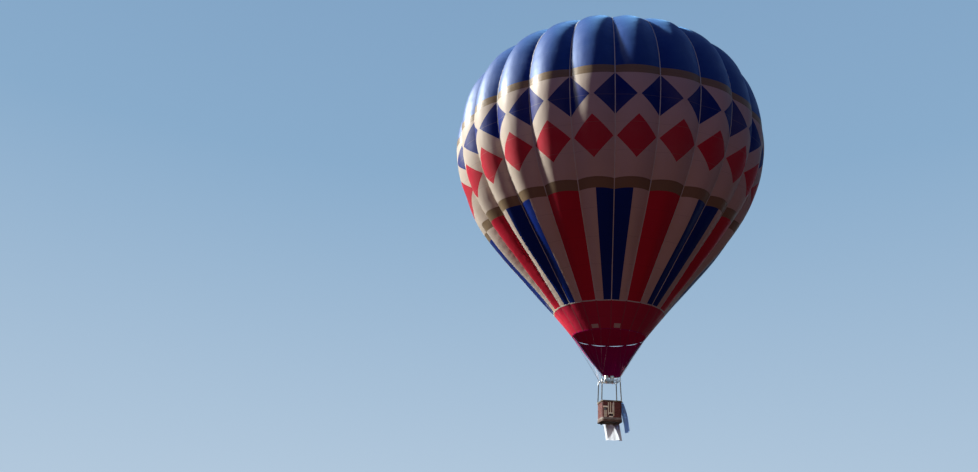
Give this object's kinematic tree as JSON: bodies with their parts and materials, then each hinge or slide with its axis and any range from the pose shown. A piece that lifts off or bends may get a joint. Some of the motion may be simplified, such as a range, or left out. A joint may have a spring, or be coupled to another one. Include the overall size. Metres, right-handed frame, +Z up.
{
  "type": "hot air balloon",
  "caption": "Hot air balloon with a gored teardrop envelope, parachute valve, scoop, gimballed twin burner, flying wires and a wicker basket with hanging cloths.",
  "frame": {"origin": "centre of the envelope's mouth, on the line of the hot air's lift", "axes": "+Z up, +X along the basket's short side, +Y along its long side, step holes on the -Y face"},
  "size_m": [17.452, 17.452, 23.0559],
  "materials": {
    "red_fabric": "matte",
    "striped_fabric": "matte",
    "tan_fabric": "matte",
    "cream_fabric": "matte",
    "navy_fabric": "matte",
    "load_tape": "matte",
    "maroon_fabric": "matte",
    "wire_steel": "satin",
    "frame_steel": "satin",
    "burner_steel": "satin",
    "coil_steel": "satin",
    "cover_leather": "satin",
    "wicker": "matte",
    "rim_leather": "satin",
    "plywood": "matte",
    "skirt_leather": "satin",
    "runner_wood": "matte",
    "cylinder_aluminium": "satin",
    "white_cloth": "matte"
  },
  "bodies": {
    "balloon": {"base_panels": "red_fabric", "striped_panels": "striped_fabric", "lower_band": "tan_fabric", "body_panels": "cream_fabric", "upper_band": "tan_fabric", "crown_panels": "navy_fabric", "crown_tapes": "load_tape", "scoop": "maroon_fabric", "flying_wires_front_right": "wire_steel", "flying_wires_back_right": "wire_steel", "flying_wires_back_left": "wire_steel", "flying_wires_front_left": "wire_steel", "burner_frame": "frame_steel", "upright_front_right": "cover_leather", "upright_back_right": "cover_leather", "upright_back_left": "cover_leather", "upright_front_left": "cover_leather", "basket_walls": "wicker", "top_rim": "rim_leather", "basket_floor": "plywood", "basket_skirt": "skirt_leather", "runner_left": "runner_wood", "runner_right": "runner_wood", "fuel_cylinder_front_right": "cylinder_aluminium", "fuel_cylinder_back_right": "cylinder_aluminium", "fuel_cylinder_back_left": "cylinder_aluminium", "fuel_cylinder_front_left": "cylinder_aluminium", "side_cloth": "white_cloth", "back_cloth": "white_cloth"},
    "valve": {"parachute_valve": "navy_fabric"},
    "gimbal": {"gimbal_ring": "frame_steel"},
    "burners": {"burner_block": "burner_steel", "burner_can_left": "burner_steel", "burner_can_right": "burner_steel", "burner_coil_left": "coil_steel", "burner_coil_right": "coil_steel"}
  },
  "joints": [
    {"name": "valve_slide", "type": "slide", "parent": "balloon", "child": "valve", "axis": [0, 0, 1], "range_m": [-0.9, 0], "stiffness_N_per_m": 400, "springref_m": 0.6},
    {"name": "gimbal_tilt", "type": "hinge", "parent": "balloon", "child": "gimbal", "pos_m": [0, 0, -2.32], "axis": [1, 0, 0], "range_deg": [-15, 15]},
    {"name": "burner_tilt", "type": "hinge", "parent": "gimbal", "child": "burners", "pos_m": [0, 0, -2.32], "axis": [0, 1, 0], "range_deg": [-15, 15]}
  ]
}
